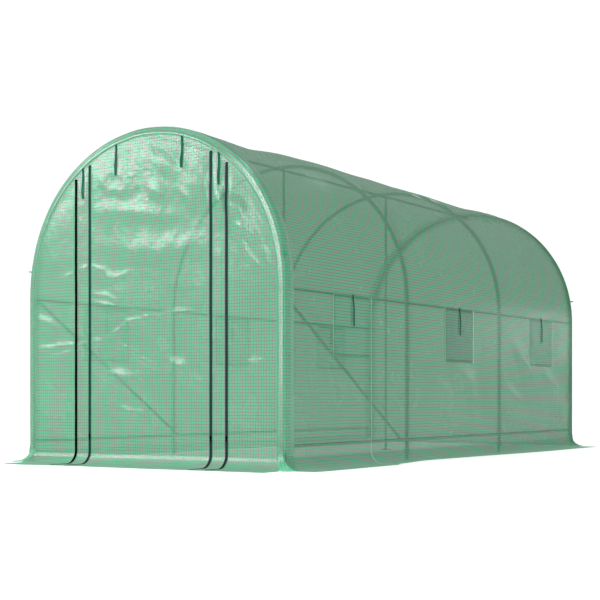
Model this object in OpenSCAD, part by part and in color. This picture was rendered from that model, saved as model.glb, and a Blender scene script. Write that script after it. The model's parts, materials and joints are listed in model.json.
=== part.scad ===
// Walk-in polytunnel greenhouse: tubular steel hoops under a sewn mesh cover.
// Millimetres. +Z is up, +Y runs along the tunnel, and the door end faces -Y.
// The origin is on the ground, under the middle of the tunnel.

/* [Tunnel] */
// Width over the cover
cover_w = 2000; // [1700:10:2600]
// Length of one bay, from hoop to hoop
bay_l = 1500; // [1100:10:2000]
// Height of the straight legs, up to where the arch begins
leg_h = 1070; // [900:5:1400]

/* [Frame] */
// Diameter of the hoop tube
hoop_d = 25; // [20:0.5:35]
// Diameter of the ridge and side rails
rail_d = 19; // [14:0.5:28]
// Diameter of the diagonal braces in the door bay
brace_d = 19; // [12:0.5:28]
// Diameter of the posts under the ridge
post_d = 19; // [14:0.5:32]
// Diameter of the round foot of a post
foot_d = 80; // [50:1:140]
// Thickness of the round foot of a post
foot_t = 5; // [3:0.5:12]
// Distance of the upper side rails below the top of the legs
upper_rail_drop = 11; // [11:1:120]
// Height of the lower side rails
lower_rail_h = 138; // [110:1:300]

/* [Cover] */
// Thickness of the cover sheet
cover_t = 2; // [1:0.5:4]
// Width of the hem band round each end arch
hem_w = 55; // [35:1:80]
// Width by which the hem band wraps round the end hoop onto the roof and walls
hem_wrap = 95; // [50:1:140]
// Thickness of the hem band
hem_t = 1.5; // [1:0.5:3]
// Width of the skirt beyond the side walls
skirt_w = 200; // [100:5:300]
// Width of the skirt beyond the two ends
end_skirt_w = 235; // [100:5:300]
// Radius of the turn from a wall into its skirt
skirt_r = 60; // [20:1:80]

/* [Windows] */
// Width of a window flap
flap_w = 470; // [300:5:700]
// Height of a window flap
flap_h = 385; // [250:5:550]
// Thickness of a window flap
flap_t = 1.5; // [1:0.5:3]
// Width by which a flap laps the sheet round its opening
flap_lap = 20; // [12:1:40]
// Distance of the windows below the top of the legs
window_drop = 14; // [0:1:80]
// Extra distance between neighbouring windows, beyond the length of a bay
window_spread = 24; // [-40:1:60]
// Distance of the middle window from the middle of the tunnel, away from the door
window_shift = 30; // [-60:1:60]
// Thickness of the insect net behind a flap
net_t = 1; // [0.5:0.5:2]

/* [Door] */
// Distance between the two outer zips
outer_zip_span = 1180; // [1060:5:1300]
// Distance between the two inner zips
inner_zip_span = 950; // [700:5:1000]
// Width of a zip
zip_w = 20; // [10:1:24]
// Thickness of a zip
zip_t = 3; // [2:0.5:5]
// Width of the slit that a zip closes
slit_w = 2; // [1:0.5:4]

/* [Ties and tabs] */
// Width of a tie tape
tape_w = 13; // [8:1:18]
// Thickness of a tie tape
tape_t = 1.6; // [1:0.2:3]
// Distance from the middle of the door to its two upper ties
upper_tie_x = 258; // [150:1:320]
// Distance by which the tops of the door ties reach up over the hem band
tie_lap = 18; // [5:1:30]
// Height of the corner tabs above the legs
tab_rise = 172; // [80:1:300]
// Width of a corner tab
tab_w = 22; // [12:1:40]
// Thickness of a corner tab, folded double
tab_t = 7; // [5:0.5:12]
// Thickness of the tape that a corner tab is folded from
tab_tape_t = 2; // [1.2:0.1:2.2]
// Reach of a corner tab out of the cover
tab_reach = 20; // [14:1:30]

/* [Hidden] */
$fn = 192;
// Clearance between pieces that lie on each other
seat = 0.3;
tube_green = "darkgreen";
sheet_green = "mediumaquamarine";
trim_green = "seagreen";
zip_colour = "darkslategray";

tunnel_l = 3 * bay_l;
first_y = -tunnel_l / 2;
second_y = -bay_l / 2;
third_y = bay_l / 2;
rear_y = tunnel_l / 2;
window_pitch = bay_l + window_spread;
window_ys = [for (i = [-1 : 1]) window_shift + i * window_pitch];

// The cover, and the frame that fits inside it
cover_r = cover_w / 2;
inner_r = cover_r - cover_t;
hoop_r = inner_r - seat - hoop_d / 2;
end_in = tunnel_l / 2 + hoop_d / 2 + seat;
end_out = end_in + cover_t;
bend_z = skirt_r + cover_t;

// Rails lie on the inside of the hoops, and braces on the inside of the rails
rail_x = hoop_r - hoop_d / 2 - seat - rail_d / 2;
rail_l = tunnel_l + hoop_d;
upper_rail_z = leg_h - upper_rail_drop;
ridge_z = leg_h + rail_x;
brace_x = rail_x - rail_d / 2 - seat - brace_d / 2;
brace_rise = upper_rail_z - lower_rail_h;
post_top = ridge_z - rail_d / 2 - seat;

// Windows hang from just below the upper rail line
window_top = leg_h - window_drop;
window_z = window_top - flap_h;

// Tapes hang from the hem round the door, and from the tops of the windows
tape_back = seat + tape_t / 2;
hem_inner_r = cover_r - hem_w;
hem_outer_r = cover_r + hem_t;
zip_xs = [outer_zip_span / 2, inner_zip_span / 2];
lower_tie_x = (outer_zip_span + inner_zip_span) / 4;
door_ties = [-lower_tie_x, -upper_tie_x, upper_tie_x, lower_tie_x];
// Route of a hanging tape: sideways, outwards and downwards from its top
tape_route = [
    [0, 0, 8], [0, 0, 0], [1, 0, -25], [3, 1, -50], [4, 2, -80],
    [2, 3, -110], [1, 3, -140], [3, 2, -165], [5, 1, -189]
];

// Shapes that repeat

// A straight hoop leg, standing on the ground
module leg(side, y) {
    color(tube_green) translate([side * hoop_r, y, 0]) cylinder(d = hoop_d, h = leg_h);
}

// The bent tube that joins the two legs of a hoop
module arch(y) {
    color(tube_green) translate([0, y, leg_h]) rotate([90, 0, 0])
        rotate_extrude(angle = 180) translate([hoop_r, 0]) circle(d = hoop_d);
}

// A rail along the whole tunnel
module rail(x, z) {
    color(tube_green) translate([x, rail_l / 2, z]) rotate([90, 0, 0])
        cylinder(d = rail_d, h = rail_l);
}

// A brace from the top of the door hoop down to the foot of the second hoop
module brace(side) {
    color(tube_green) translate([side * brace_x, second_y, lower_rail_h])
        rotate([atan2(bay_l, brace_rise), 0, 0])
            cylinder(d = brace_d, h = norm([bay_l, brace_rise]));
}

// A post under the ridge on its round foot
module post(y) {
    color(tube_green) translate([0, y, 0]) {
        cylinder(d = foot_d, h = foot_t);
        cylinder(d = post_d, h = post_top);
    }
}

// Outline of a tunnel end from a given height up
module end_outline(r, bottom) {
    translate([-r, bottom]) square([2 * r, leg_h - bottom]);
    intersection() {
        translate([0, leg_h]) circle(r);
        translate([-r, leg_h]) square([2 * r, r]);
    }
}

// Upright band of an end outline between two distances from the middle
module end_band(from_x, to_x) {
    intersection() {
        end_outline(cover_r, bend_z);
        translate([from_x, bend_z]) square([to_x - from_x, leg_h + cover_r]);
    }
}

// A flat outline, drawn as seen from the door, stood up on the door end
module on_front(out, thick) {
    translate([0, -out, 0]) rotate([90, 0, 0]) linear_extrude(thick) children();
}

// Section of a sheet that comes down a wall and turns outwards along the ground:
// back and face are its distances out of the outer face of the wall, and reach is how far it goes
module turned_section(back, face, reach) {
    intersection() {
        difference() {
            translate([skirt_r, bend_z]) circle(skirt_r - back);
            translate([skirt_r, bend_z]) circle(skirt_r - face);
        }
        translate([back, bend_z - skirt_r + back]) square(skirt_r - back);
    }
    translate([skirt_r, cover_t + back]) square([reach - skirt_r, face - back]);
}

// A turned sheet along the right wall of a box, centred, before it is turned to its wall
module turned_sheet(wall, length, back, face, reach) {
    translate([wall, length / 2, 0]) rotate([90, 0, 0])
        linear_extrude(length) turned_section(back, face, reach);
}

// The skirt along one wall, cut straight at both ends so that the corners stay open
module skirt(wall, half_l, reach) {
    turned_sheet(wall, 2 * half_l, -cover_t, 0, reach);
}

// One side of the roof, a quarter of a round
module roof_cover() {
    color(sheet_green) translate([0, end_in, leg_h]) rotate([90, 0, 0])
        linear_extrude(2 * end_in) intersection() {
            difference() {
                circle(cover_r);
                circle(inner_r);
            }
            square(cover_r);
        }
}

// The right wall sheet with its window openings
module wall_cover() {
    color(sheet_green) difference() {
        translate([inner_r, -end_in, bend_z]) cube([cover_t, 2 * end_in, leg_h - bend_z]);
        window_sheets(inner_r - cover_t, 3 * cover_t, flap_lap);
    }
}

// A row of upright window sheets along the right wall, each smaller by a margin all round
module window_sheets(x, thick, margin) {
    for (y = window_ys)
        translate([x, y - flap_w / 2 + margin, window_z + margin])
            cube([thick, flap_w - 2 * margin, flap_h - 2 * margin]);
}

// A flat tape that hangs along a route, its back towards +Y
module tape() {
    corners = [
        [-tape_w / 2, -tape_t / 2], [tape_w / 2, -tape_t / 2],
        [tape_w / 2, tape_t / 2], [-tape_w / 2, tape_t / 2]
    ];
    last = len(tape_route) - 1;
    points = [for (p = tape_route, c = corners) [p[0] + c[0], c[1] - p[1], p[2]]];
    sides = [
        for (i = [0 : last - 1], j = [0 : 3])
            [4 * i + j, 4 * i + (j + 1) % 4, 4 * i + 4 + (j + 1) % 4, 4 * i + 4 + j]
    ];
    color(trim_green) polyhedron(
        points, concat(sides, [[3, 2, 1, 0], [for (j = [0 : 3]) 4 * last + j]])
    );
}

// The outer and inner tape of one tie at the door
module door_tie(x) {
    r = hem_inner_r + tie_lap;
    z = leg_h + sqrt(r * r - x * x);
    translate([x, -end_out - hem_t - tape_back, z]) tape();
    translate([x, -end_in + tape_back, z]) rotate([0, 0, 180]) tape();
}

// The outer and inner tapes of the ties over the windows of the right wall
module window_ties() {
    for (y = window_ys) {
        translate([cover_r + flap_t + tape_back, y, window_top]) rotate([0, 0, 90]) tape();
        translate([inner_r - net_t - tape_back, y, window_top]) rotate([0, 0, -90]) tape();
    }
}

// Outline of a strip with one round end, which reaches up from its square end
module round_strip(width, reach) {
    translate([-width / 2, 0]) square([width, reach - width / 2]);
    translate([0, reach - width / 2]) circle(d = width);
}

// A loop of tape, folded double and sewn onto the hem at one corner
module corner_tab(side, y) {
    color(trim_green) translate([0, y, leg_h]) rotate([0, side * (90 - asin(tab_rise / cover_r)), 0])
        translate([0, tab_w / 2, hem_outer_r + seat]) rotate([90, 0, 0])
            linear_extrude(tab_w) difference() {
                round_strip(tab_t, tab_reach);
                translate([0, tab_tape_t]) round_strip(tab_t - 2 * tab_tape_t, tab_reach - 2 * tab_tape_t);
            }
}

// One zip, from the hem down the door end and out along the skirt
module zip(x) {
    color(zip_colour) {
        on_front(end_out, zip_t) intersection() {
            end_outline(hem_inner_r, bend_z);
            translate([x - zip_w / 2, bend_z]) square([zip_w, leg_h + cover_r]);
        }
        translate([x, 0, 0]) rotate([0, 0, -90]) turned_sheet(end_out, zip_w, 0, zip_t, end_skirt_w);
    }
}

// The hem band round one end: flat on the end sheet, and turned round the hoop onto the roof and walls
module hem() {
    color(trim_green) {
        on_front(end_out, hem_t) difference() {
            end_outline(hem_outer_r, bend_z);
            end_outline(hem_inner_r, bend_z);
        }
        on_front(end_out - hem_wrap, hem_wrap) difference() {
            end_outline(hem_outer_r, bend_z);
            end_outline(cover_r, bend_z);
        }
    }
}

// Frame

module front_left_leg() { leg(-1, first_y); }
module front_right_leg() { leg(1, first_y); }
module second_left_leg() { leg(-1, second_y); }
module second_right_leg() { leg(1, second_y); }
module third_left_leg() { leg(-1, third_y); }
module third_right_leg() { leg(1, third_y); }
module rear_left_leg() { leg(-1, rear_y); }
module rear_right_leg() { leg(1, rear_y); }
module front_arch() { arch(first_y); }
module second_arch() { arch(second_y); }
module third_arch() { arch(third_y); }
module rear_arch() { arch(rear_y); }
module ridge_rail() { rail(0, ridge_z); }
module left_upper_rail() { rail(-rail_x, upper_rail_z); }
module right_upper_rail() { rail(rail_x, upper_rail_z); }
module left_lower_rail() { rail(-rail_x, lower_rail_h); }
module right_lower_rail() { rail(rail_x, lower_rail_h); }
module left_brace() { brace(-1); }
module right_brace() { brace(1); }
module second_post() { post(second_y); }
module third_post() { post(third_y); }

// Cover

module right_roof_cover() { roof_cover(); }
module left_roof_cover() { mirror([1, 0, 0]) roof_cover(); }
module right_wall_cover() { wall_cover(); }
module left_wall_cover() { mirror([1, 0, 0]) wall_cover(); }
module right_skirt() { color(sheet_green) skirt(cover_r, end_in, skirt_w); }
module left_skirt() { color(sheet_green) rotate([0, 0, 180]) skirt(cover_r, end_in, skirt_w); }
module rear_skirt() { color(sheet_green) rotate([0, 0, 90]) skirt(end_out, cover_r, end_skirt_w); }

// The door skirt is slit below each zip
module front_skirt() {
    color(sheet_green) difference() {
        rotate([0, 0, -90]) skirt(end_out, cover_r, end_skirt_w);
        for (side = [-1, 1], x = zip_xs)
            translate([side * x - slit_w / 2, -end_out - end_skirt_w - slit_w, -slit_w])
                cube([slit_w, end_skirt_w + cover_t + 2 * slit_w, bend_z + 2 * slit_w]);
    }
}

module front_right_panel() {
    color(sheet_green) on_front(end_in, cover_t) end_band(zip_xs[0] + slit_w / 2, cover_r);
}

module front_left_panel() { mirror([1, 0, 0]) front_right_panel(); }

module door_edge_strips() {
    for (side = [0, 1])
        color(sheet_green) mirror([side, 0, 0]) on_front(end_in, cover_t)
            end_band(zip_xs[1] + slit_w / 2, zip_xs[0] - slit_w / 2);
}

module door_panel() {
    color(sheet_green) on_front(end_in, cover_t)
        end_band(slit_w / 2 - zip_xs[1], zip_xs[1] - slit_w / 2);
}

module rear_panel() {
    color(sheet_green) rotate([0, 0, 180]) on_front(end_in, cover_t)
        end_outline(cover_r, bend_z);
}

module front_hem() { hem(); }
module rear_hem() { rotate([0, 0, 180]) hem(); }

// Windows

module right_window_flaps() { color(trim_green) window_sheets(cover_r, flap_t, 0); }
module left_window_flaps() { mirror([1, 0, 0]) right_window_flaps(); }
module right_window_nets() { color(trim_green) window_sheets(inner_r - net_t, net_t, flap_lap / 2); }
module left_window_nets() { mirror([1, 0, 0]) right_window_nets(); }

// Zips, ties and tabs

module door_zips() {
    for (side = [-1, 1], x = zip_xs)
        zip(side * x);
}

module front_ties() {
    for (x = door_ties)
        door_tie(x);
}

module right_window_ties() { window_ties(); }
module left_window_ties() { mirror([1, 0, 0]) window_ties(); }

module corner_tabs() {
    for (side = [-1, 1], y = [first_y, rear_y])
        corner_tab(side, y);
}

front_left_leg();
front_right_leg();
second_left_leg();
second_right_leg();
third_left_leg();
third_right_leg();
rear_left_leg();
rear_right_leg();
front_arch();
second_arch();
third_arch();
rear_arch();
ridge_rail();
left_upper_rail();
right_upper_rail();
left_lower_rail();
right_lower_rail();
left_brace();
right_brace();
second_post();
third_post();
left_roof_cover();
right_roof_cover();
left_wall_cover();
right_wall_cover();
left_skirt();
right_skirt();
front_skirt();
rear_skirt();
front_left_panel();
front_right_panel();
door_edge_strips();
door_panel();
rear_panel();
front_hem();
rear_hem();
left_window_flaps();
right_window_flaps();
left_window_nets();
right_window_nets();
door_zips();
front_ties();
left_window_ties();
right_window_ties();
corner_tabs();
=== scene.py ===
import json
import math

import bmesh
import bpy
import numpy as np
from mathutils import Matrix, Quaternion, Vector, noise


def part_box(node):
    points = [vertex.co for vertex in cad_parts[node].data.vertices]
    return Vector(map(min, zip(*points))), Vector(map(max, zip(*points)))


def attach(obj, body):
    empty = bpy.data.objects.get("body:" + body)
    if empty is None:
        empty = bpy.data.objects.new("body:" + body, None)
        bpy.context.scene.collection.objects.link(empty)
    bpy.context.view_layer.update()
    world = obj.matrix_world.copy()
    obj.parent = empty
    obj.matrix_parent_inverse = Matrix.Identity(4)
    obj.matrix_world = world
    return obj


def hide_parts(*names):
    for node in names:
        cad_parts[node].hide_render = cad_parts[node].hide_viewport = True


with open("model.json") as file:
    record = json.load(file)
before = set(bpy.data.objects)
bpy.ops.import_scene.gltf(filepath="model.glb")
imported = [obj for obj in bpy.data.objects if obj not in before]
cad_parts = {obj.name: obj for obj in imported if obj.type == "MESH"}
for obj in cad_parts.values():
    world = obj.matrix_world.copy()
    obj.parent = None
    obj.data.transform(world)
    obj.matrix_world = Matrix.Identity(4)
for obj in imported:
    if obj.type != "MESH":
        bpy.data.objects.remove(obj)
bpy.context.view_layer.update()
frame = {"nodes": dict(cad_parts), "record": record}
bpy.ops.object.select_all(action="DESELECT")

# Hoops, rails, braces and posts
# Steel tube of 25 and 19 mm, bent and cut to length, with a dark green powder coat. The arches
# plug onto the legs, and the rails and braces are bolted to the inside of the hoops.
tube_r = 0.0125
hoop_greens = ((0.042, 0.160, 0.088, 1), (0.072, 0.240, 0.136, 1))
# The rails and braces take a darker copy of the same coat: painted shade for where they lie close behind the
# cover.
rail_shaded_greens = ((0.018, 0.076, 0.041, 1), (0.034, 0.120, 0.066, 1))


def new_material(name):
    material = bpy.data.materials.new(name)
    material.use_nodes = True
    nodes = material.node_tree.nodes
    return material, nodes, material.node_tree.links, nodes["Principled BSDF"]


def noise_node(nodes, links, source, scale, detail):
    texture = nodes.new("ShaderNodeTexNoise")
    texture.inputs["Scale"].default_value = scale
    texture.inputs["Detail"].default_value = detail
    links.new(source, texture.inputs["Vector"])
    return texture.outputs["Fac"]


def blend_colours(nodes, links, factor, first, second):
    blend = nodes.new("ShaderNodeMix")
    blend.data_type = "RGBA"
    links.new(factor, blend.inputs["Factor"])
    for socket, colour in (("A", first), ("B", second)):
        target = next(i for i in blend.inputs if i.name == socket and i.type == "RGBA")
        if isinstance(colour, tuple):
            target.default_value = colour
        else:
            links.new(colour, target)
    return next(o for o in blend.outputs if o.type == "RGBA")


def map_range(nodes, links, value, start, end, low, high, curve="LINEAR"):
    mapped = nodes.new("ShaderNodeMapRange")
    mapped.interpolation_type = curve
    for socket, number in (("From Min", start), ("From Max", end), ("To Min", low), ("To Max", high)):
        mapped.inputs[socket].default_value = number
    links.new(value, mapped.inputs["Value"])
    return mapped.outputs["Result"]


def two_tone(nodes, links, factor, first, second, shader):
    links.new(blend_colours(nodes, links, factor, first, second), shader.inputs["Base Color"])


def bump(nodes, links, height, strength, distance, shader):
    raised = nodes.new("ShaderNodeBump")
    raised.inputs["Strength"].default_value = strength
    raised.inputs["Distance"].default_value = distance
    links.new(height, raised.inputs["Height"])
    links.new(raised.outputs["Normal"], shader.inputs["Normal"])


def powder_coat(name, greens):
    material, nodes, links, shader = new_material(name)
    place = nodes.new("ShaderNodeTexCoord").outputs["Object"]
    patches = noise_node(nodes, links, place, 7, 3)
    two_tone(nodes, links, patches, *greens, shader)
    grain = noise_node(nodes, links, place, 900, 2)
    links.new(map_range(nodes, links, patches, 0.3, 0.7, 0.30, 0.46), shader.inputs["Roughness"])
    bump(nodes, links, grain, 0.12, 0.0004, shader)
    return material


hoop_coat = powder_coat("green_hoop_coat", hoop_greens)
rail_shaded_coat = powder_coat("green_rail_painted_shade_coat", rail_shaded_greens)
tube_nodes = [p["node"] for p in frame["record"]["subparts"] if p["material_slot"] == "tube_green"]


def dress(node_name, material):
    node = frame["nodes"][node_name]
    node.data.materials.clear()
    node.data.materials.append(material)


for name in tube_nodes:
    dress(name, rail_shaded_coat if "rail" in name or "brace" in name else hoop_coat)

# Wing nuts
# Steel wing nuts on the bolts that hold the side rails, braces and ridge rail to the hoops, powder
# coated like the tubes in the rails' darker copy, which is painted shade. One is modelled and copied to the
# crossings, each on the inside of its rail.
nut_foot_r = 0.0065
nut_top_r = 0.0048
nut_h = 0.006
nut_seat = 0.0032
nut_turn = 1.9
bolt_r = 0.003
bolt_l = 0.020
bolt_z = 0.002
wing_box = (0.012, 0.0022, 0.0075)
wing_reach = 0.0100
wing_z = 0.0035
wing_tilt = 0.45

bpy.ops.object.select_all(action="DESELECT")
bpy.ops.mesh.primitive_cone_add(vertices=16, radius1=nut_foot_r, radius2=nut_top_r, depth=nut_h,
                                location=(0, 0, 0))
wing_nut = bpy.context.object
bpy.ops.object.mode_set(mode="EDIT")
bpy.ops.mesh.select_all(action="SELECT")
bpy.ops.mesh.bevel(offset=0.0006, segments=2)
bpy.ops.mesh.primitive_cylinder_add(vertices=12, radius=bolt_r, depth=bolt_l, location=(0, 0, bolt_z))
bpy.ops.mesh.bevel(offset=0.0005, segments=1)
for wing in (-1, 1):
    bpy.ops.mesh.primitive_cube_add(size=1, location=(wing_reach * wing, 0, wing_z),
                                    rotation=(0, -wing_tilt * wing, 0), scale=wing_box)
    bpy.ops.mesh.bevel(offset=0.0009, segments=2)
bpy.ops.object.mode_set(mode="OBJECT")


def add_object(name, data):
    item = bpy.data.objects.new(name, data)
    bpy.context.scene.collection.objects.link(item)
    return item


def copies(name, model, settings):
    """One piece made of copies of a model, each with its own place and turn. The model itself goes."""
    joined = bmesh.new()
    for setting in settings:
        copy = model.data.copy()
        copy.transform(setting)
        joined.from_mesh(copy)
        bpy.data.meshes.remove(copy)
    bpy.data.meshes.remove(model.data)
    mesh = bpy.data.meshes.new(name)
    joined.to_mesh(mesh)
    joined.free()
    return add_object(name, mesh)


leg_ys = {}
for hoop in ("front", "second", "third", "rear"):
    leg_low, leg_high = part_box(f"{hoop}_right_leg")
    leg_ys[hoop] = (leg_low.y + leg_high.y) / 2
brace_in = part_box("right_brace")[0].x
crossings = []
for rail, braced_hoop in (("upper", "front"), ("lower", "second")):
    low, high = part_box(f"right_{rail}_rail")
    for hoop, leg_y in leg_ys.items():
        inner_x = brace_in if hoop == braced_hoop else low.x
        for side in (-1, 1):
            place = Vector((side * inner_x, leg_y, (low.z + high.z) / 2))
            crossings.append((place, Vector((-side, 0, 0))))
for hoop in ("front", "rear"):
    place = Vector((0, leg_ys[hoop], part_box("ridge_rail")[0].z))
    crossings.append((place, Vector((0, 0, -1))))

nut_settings = []
for number, (place, facing) in enumerate(crossings):
    turned = facing.to_track_quat("Z", "Y") @ Quaternion((0, 0, 1), nut_turn * number)
    nut_settings.append(Matrix.Translation(place + nut_seat * facing) @ turned.to_matrix().to_4x4())
wing_nuts = copies("wing_nuts", wing_nut, nut_settings)
wing_nuts.data.materials.append(rail_shaded_coat)
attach(wing_nuts, "root")

# Cover
# One sheet of woven polyethylene tape with a square grid of reinforcing yarns, laid over the hoops
# and sewn at both ends. It comes down the walls, where a narrow lighter strip running down from the
# first window is a painted highlight along a fold, and turns out into a skirt that lies on the ground.
cover_r = (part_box("right_wall_cover")[0].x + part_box("right_wall_cover")[1].x) / 2
leg_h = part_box("front_left_leg")[1].z
skirt_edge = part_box("right_skirt")[1].x
turn_r = 0.085
bend_z = turn_r + 0.001
end_mid = (abs(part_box("door_panel")[0].y) + abs(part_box("door_panel")[1].y)) / 2
hoop_ys = [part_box(f"{hoop}_left_leg")[0].y + tube_r for hoop in ("front", "second", "third", "rear")]
grid_pitch = 0.0188
yarn_width = 0.0124
yarn_soft = 0.0008

# Distances along the sheet from the ridge to where the wall, the turn and the flat skirt begin
wall_from = cover_r * math.pi / 2
turn_from = wall_from + leg_h - bend_z
flat_from = turn_from + turn_r * math.pi / 2
skirt_to = flat_from + skirt_edge - cover_r - turn_r


def ease(value, start, end):
    share = np.clip((value - start) / (end - start), 0, 1)
    return share * share * (3 - 2 * share)


def cover_section(along):
    """Distance from the middle, height and outward direction at a run along the sheet from the ridge."""
    run = np.abs(along)
    side = np.where(along < 0, -1.0, 1.0)
    arch = np.clip(run, 0, wall_from) / cover_r
    turn = np.clip(run - turn_from, 0, flat_from - turn_from) / turn_r
    x = cover_r * np.sin(arch) + turn_r * (1 - np.cos(turn)) + np.clip(run - flat_from, 0, None)
    drop = np.clip(run - wall_from, 0, turn_from - wall_from)
    z = leg_h + cover_r * np.cos(arch) - drop - turn_r * np.sin(turn)
    return side * x, z, side * np.sin(arch) * np.cos(turn), np.cos(arch) + np.sin(turn)


def fold(a, b, route, half_width, rise):
    """Height of a soft fold that follows a route on a sheet and fades out at its two ends."""
    best = np.full(np.shape(a), 1e9)
    height = np.zeros(np.shape(a))
    spans = len(route) - 1
    for i, ((a0, b0), (a1, b1)) in enumerate(zip(route, route[1:])):
        da, db = a1 - a0, b1 - b0
        share = ((a - a0) * da + (b - b0) * db) / (da * da + db * db)
        held = np.clip(share, 0, 1)
        gap = np.hypot(a - a0 - held * da, b - b0 - held * db)
        travel = (i + held) / spans
        swell = np.sin(np.pi * np.clip(travel * 0.9 + 0.05, 0, 1)) ** 0.6
        nearer = gap < best
        best = np.where(nearer, gap, best)
        height = np.where(nearer, rise * swell * np.exp(-(gap / half_width) ** 2), height)
    return height


def folds(a, b, listed):
    """Height of all the listed folds together."""
    return sum(fold(a, b, *listed_fold) for listed_fold in listed)


def unrest(a, b, scale, seed):
    """Smooth waves over a sheet, between about -1 and 1."""
    flat = np.column_stack([np.ravel(a), np.ravel(b)]) * scale
    waves = [noise.noise(Vector((p[0], p[1], seed)), noise_basis="PERLIN_ORIGINAL") for p in flat]
    return np.reshape(waves, np.shape(a))


# Swells of the roof between the hoops: place along the tunnel, spread and rise
roof_swells = [(-1.62, 0.26, -0.012), (-1.25, 0.16, 0.006), (-0.80, 0.42, 0.016), (-0.10, 0.22, 0.006),
               (0.72, 0.25, 0.005), (1.50, 0.36, -0.008), (1.92, 0.14, 0.006)]
# Folds beside the ridge and on the walls: route on the sheet, half width and rise
ridge_folds = [
    ([(0.27, 0.44), (0.34, 0.54), (0.40, 0.62)], 0.022, 0.010),
    ([(0.56, 0.45), (0.63, 0.555), (0.70, 0.64)], 0.022, 0.011),
    ([(1.30, 0.50), (1.38, 0.60), (1.46, 0.68)], 0.024, 0.011),
    ([(1.56, 0.38), (1.66, 0.47), (1.76, 0.55)], 0.024, 0.011),
    ([(1.84, 0.36), (1.92, 0.45), (2.02, 0.54)], 0.022, 0.010),
]
wall_folds = [
    ([(1.07, 0.775), (1.30, 0.652), (1.589, 0.375)], 0.060, 0.010),
    ([(1.638, 0.602), (1.942, 0.470), (2.152, 0.373)], 0.055, 0.010),
    ([(-0.436, 0.558), (-0.187, 0.448), (-0.076, 0.366)], 0.060, 0.008),
    ([(-0.039, 0.640), (0.229, 0.532), (0.308, 0.330)], 0.065, 0.009),
    ([(0.113, 0.498), (0.368, 0.227)], 0.060, 0.008),
    ([(0.80, 0.502), (1.255, 0.322)], 0.060, 0.008),
    ([(-0.331, 1.168), (-0.223, 1.078)], 0.020, 0.004),
]
# How far the edge of the side skirts lies out or in, at places along the tunnel
skirt_edges = [(-2.27, 0.0), (-2.18, 0.016), (-1.25, 0.018), (-1.22, -0.028), (-1.04, -0.048),
               (-0.78, -0.095), (-0.60, -0.10), (-0.27, -0.077), (0.08, -0.056), (0.43, -0.028),
               (0.81, 0.0), (1.25, 0.022), (2.27, 0.02)]


def crown(y, run):
    """How far the cover rides above the hoops along the ridge, most at the door end."""
    rise = 0.009 * (1 - ease(y, 0.1, 0.9)) + 0.005 * (1 - ease(y, -2.2, -1.75))
    return rise * (1 - ease(run, 0.8, wall_from))


def cover_relief(y, along):
    """How far the cover stands out of, or sags in from, its even shape."""
    run = np.abs(along)
    height = leg_h - (run - wall_from)
    relief = np.zeros(np.shape(y))
    for middle, spread, rise in roof_swells:
        relief += rise * np.exp(-((y - middle) / spread) ** 2) * (1 - ease(run, 0.7, wall_from))
    relief += folds(y, run, ridge_folds) + folds(y, height, wall_folds)
    relief += 0.003 * unrest(y, along, 1.7, 2.0) + 0.0012 * unrest(y, along, 6.0, 5.0)
    relief *= ease(turn_from + 0.02 - run, 0, 0.12)
    return relief * ease(end_mid - np.abs(y), 0.0, 0.12) + crown(y, run)


def lines(stops, step):
    """Grid lines through all the stops, evenly spaced between them."""
    spans = [np.linspace(p, q, max(1, round((q - p) / step)) + 1)[:-1] for p, q in zip(stops, stops[1:])]
    return np.concatenate(spans + [[stops[-1]]])


def mesh_piece(name, places, faces, weave):
    """A smooth piece with weave coordinates, in metres along the yarns, at each corner of its faces."""
    mesh = bpy.data.meshes.new(name)
    mesh.from_pydata(places.tolist(), [], faces)
    layer = mesh.uv_layers.new(name="weave")
    layer.data.foreach_set("uv", weave.ravel().astype(np.float32))
    mesh.shade_smooth()
    return add_object(name, mesh)


def sheet_piece(name, places, weave, keep=None, flip=False):
    """A single sheet over a grid of places, each with its weave coordinates."""
    rows, columns = places.shape[:2]
    number = np.arange(rows * columns).reshape(rows, columns)
    quads = np.stack([number[:-1, :-1], number[:-1, 1:], number[1:, 1:], number[1:, :-1]], axis=-1)
    quads = quads.reshape(-1, 4) if keep is None else quads[keep]
    if flip:
        quads = quads[:, ::-1]
    used, faces = np.unique(quads, return_inverse=True)
    corners = weave.reshape(-1, 2)[quads.ravel()]
    return mesh_piece(name, places.reshape(-1, 3)[used], faces.reshape(-1, 4).tolist(), corners)


def yarn_mask(nodes, links, distance, pitch, width):
    """1 on the yarns that cross a direction at an even pitch, and 0 between them."""
    apart = nodes.new("ShaderNodeMath")
    apart.operation = "PINGPONG"
    apart.inputs[1].default_value = pitch / 2
    links.new(distance, apart.inputs[0])
    inner, outer = width / 2 - yarn_soft, width / 2 + yarn_soft
    return map_range(nodes, links, apart.outputs[0], inner, outer, 1, 0, "SMOOTHSTEP")


def weave_axes(nodes, links):
    """The weave coordinates of a sheet or tape, whole and along its two directions."""
    weave = nodes.new("ShaderNodeUVMap")
    weave.uv_map = "weave"
    split = nodes.new("ShaderNodeSeparateXYZ")
    links.new(weave.outputs["UV"], split.inputs["Vector"])
    return weave.outputs["UV"], split.outputs["X"], split.outputs["Y"]


def math_node(nodes, links, operation, first, second):
    node = nodes.new("ShaderNodeMath")
    node.operation = operation
    for socket, value in zip(node.inputs, (first, second)):
        if isinstance(value, (int, float)):
            socket.default_value = value
        else:
            links.new(value, socket)
    return node.outputs[0]


stitch_pitch = 0.0045
stitch_l = 0.0034
stitch_green = (0.02, 0.12, 0.07, 1)


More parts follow.
